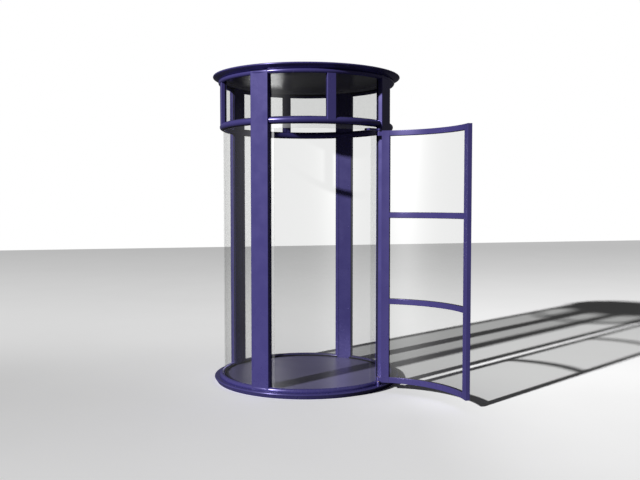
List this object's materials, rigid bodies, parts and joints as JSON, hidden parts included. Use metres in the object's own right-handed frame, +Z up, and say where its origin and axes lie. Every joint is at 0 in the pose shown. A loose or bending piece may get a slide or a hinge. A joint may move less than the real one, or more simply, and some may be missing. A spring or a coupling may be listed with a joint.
{
  "type": "telephone booth",
  "caption": "Round street telephone booth in violet steel with curved clear glazing, a flat disc roof and base, and one curved glass door standing open",
  "frame": {"origin": "centre of the underside of the base plate, on the ground", "axes": "+Z up along the booth's axis, -Y out through the middle of the doorway, +X to the right seen from in front of the doorway"},
  "size_m": [1.5278, 2.0468, 2.4],
  "materials": {
    "frame_paint": "semi-gloss violet paint on steel",
    "door_paint": "semi-gloss violet paint on the door frame",
    "deck_paint": "worn grey-violet floor coating",
    "ceiling_paint": "satin dark grey lining",
    "clear_glass": "clear bent toughened glass",
    "black_rubber": "matte black glazing rubber",
    "bare_steel": "plain steel pins, bolts and spigots",
    "bearing_bronze": "plain bronze bushes"
  },
  "bodies": {
    "booth": {"base_plate": "frame_paint", "base_ring": "frame_paint", "floor_panel": "deck_paint", "pillar_front_left": "frame_paint", "pillar_front_right": "frame_paint", "pillar_back_right": "frame_paint", "pillar_back_left": "frame_paint", "transom_ring": "frame_paint", "mullion_front": "frame_paint", "mullion_right": "frame_paint", "mullion_back": "frame_paint", "mullion_left": "frame_paint", "roof_ring": "frame_paint", "roof_plate": "frame_paint", "ceiling_panel": "ceiling_paint", "ceiling_trim": "ceiling_paint", "base_spigots": "bare_steel", "roof_spigots": "bare_steel", "glass_pane_right": "clear_glass", "glass_pane_back": "clear_glass", "glass_pane_left": "clear_glass", "transom_pane_front_left": "clear_glass", "transom_pane_front_right": "clear_glass", "transom_pane_right_front": "clear_glass", "transom_pane_right_back": "clear_glass", "transom_pane_back_right": "clear_glass", "transom_pane_back_left": "clear_glass", "transom_pane_left_back": "clear_glass", "transom_pane_left_front": "clear_glass", "jamb_strip_left": "clear_glass", "jamb_strip_right": "clear_glass", "door_head_strip": "clear_glass", "gasket_right": "black_rubber", "gasket_back": "black_rubber", "gasket_left": "black_rubber", "transom_gaskets": "black_rubber", "doorway_gaskets": "black_rubber", "glazing_beads": "frame_paint", "transom_beads": "frame_paint", "bead_screws": "frame_paint", "bottom_pivot_post": "frame_paint", "thrust_washer": "bearing_bronze", "top_pivot_bracket": "frame_paint", "top_pivot_pin": "bare_steel"},
    "door": {"door_hinge_stile": "door_paint", "door_free_stile": "door_paint", "door_top_rail": "door_paint", "door_upper_bar": "door_paint", "door_lower_bar": "door_paint", "door_bottom_rail": "door_paint", "door_glass_top": "clear_glass", "door_glass_middle": "clear_glass", "door_glass_bottom": "clear_glass", "door_gasket_top": "black_rubber", "door_gasket_middle": "black_rubber", "door_gasket_bottom": "black_rubber", "bottom_pivot_arm": "door_paint", "top_pivot_arm": "door_paint", "pivot_bushes": "bearing_bronze", "pivot_arm_bolts": "bare_steel"}
  },
  "joints": [
    {"name": "door_hinge", "type": "hinge", "parent": "booth", "child": "door", "pos_m": [0.39647, -0.58779, 1.007], "axis": [0, 0, 1], "range_deg": [-121, 14]}
  ]
}
